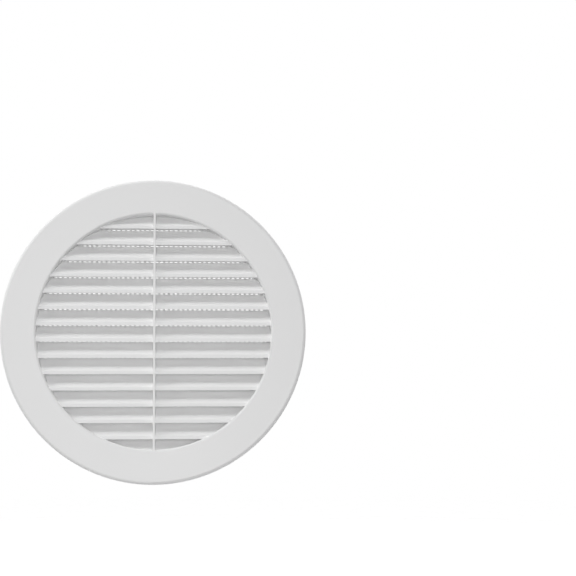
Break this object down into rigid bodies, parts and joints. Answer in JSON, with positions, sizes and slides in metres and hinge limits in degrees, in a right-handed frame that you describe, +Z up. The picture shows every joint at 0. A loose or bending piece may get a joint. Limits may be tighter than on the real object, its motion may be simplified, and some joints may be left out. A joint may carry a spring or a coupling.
{
  "type": "round vent cover",
  "caption": "Round louvred vent cover: a flat flange round fixed sloping slats, an upright mullion, an insect screen behind them and a plain spigot that goes into a round duct.",
  "frame": {"origin": "on the spigot's axis in the wall plane, level with the back of the flange's rim", "axes": "+Z up as fixed on a wall, -Y out of the wall towards the room, +Y back along the spigot into the duct"},
  "size_m": [0.188, 0.0396, 0.188],
  "materials": {
    "cover_plastic": "satin moulded white",
    "screen_plastic": "matte moulded white"
  },
  "bodies": {
    "root": {"louvred_cover": "cover_plastic", "insect_screen": "screen_plastic"}
  },
  "joints": []
}
